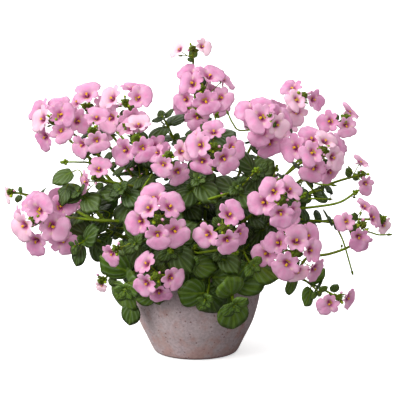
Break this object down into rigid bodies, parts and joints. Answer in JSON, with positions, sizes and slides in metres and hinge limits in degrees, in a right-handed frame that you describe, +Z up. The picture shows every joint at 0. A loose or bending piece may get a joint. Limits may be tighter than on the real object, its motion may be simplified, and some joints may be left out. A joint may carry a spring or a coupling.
{
  "type": "potted twinspur",
  "caption": "Bushy twinspur plant with racemes of pink two-spurred blooms and toothed green leaves, growing in a bowl-shaped clay pot.",
  "frame": {"origin": "middle of the flat underside of the pot, on the surface that the pot stands on", "axes": "+Z up along the pot's axis, -Y towards the plant's front, +X to the right seen from the front"},
  "size_m": [0.3867, 0.2969, 0.3144],
  "materials": {
    "clay": "matte",
    "soil": "matte",
    "foliage": "satin",
    "petal": "satin"
  },
  "bodies": {
    "root": {"pot": "clay", "soil": "soil", "leafy_stem_01": "foliage", "leafy_stem_02": "foliage", "leafy_stem_03": "foliage", "leafy_stem_04": "foliage", "leafy_stem_05": "foliage", "leafy_stem_06": "foliage", "leafy_stem_07": "foliage", "leafy_stem_08": "foliage", "leafy_stem_09": "foliage", "leafy_stem_10": "foliage", "leafy_stem_11": "foliage", "leafy_stem_12": "foliage", "leafy_stem_13": "foliage", "leafy_stem_14": "foliage", "leafy_stem_15": "foliage", "leafy_stem_16": "foliage", "leafy_stem_17": "foliage", "leafy_stem_18": "foliage", "leafy_stem_19": "foliage", "leafy_stem_20": "foliage", "leafy_stem_21": "foliage", "leafy_stem_22": "foliage", "flower_head_01": "petal", "flower_head_02": "petal", "flower_head_03": "petal", "flower_head_04": "petal", "flower_head_05": "petal", "flower_head_06": "petal", "flower_head_07": "petal", "flower_head_08": "petal", "flower_head_09": "petal", "flower_head_10": "petal", "flower_head_11": "petal", "flower_head_12": "petal", "flower_head_13": "petal", "flower_head_14": "petal", "flower_head_15": "petal", "flower_head_16": "petal", "flower_head_17": "petal", "flower_head_18": "petal", "flower_head_19": "petal", "flower_head_20": "petal", "flower_head_21": "petal", "flower_head_22": "petal", "flower_head_23": "petal", "flower_head_24": "petal", "flower_head_25": "petal", "flower_head_26": "petal", "flower_head_27": "petal", "flower_head_28": "petal", "flower_head_29": "petal", "flower_head_30": "petal", "flower_head_31": "petal", "flower_head_32": "petal", "flower_head_33": "petal", "flower_head_34": "petal", "flower_head_35": "petal"}
  },
  "joints": []
}
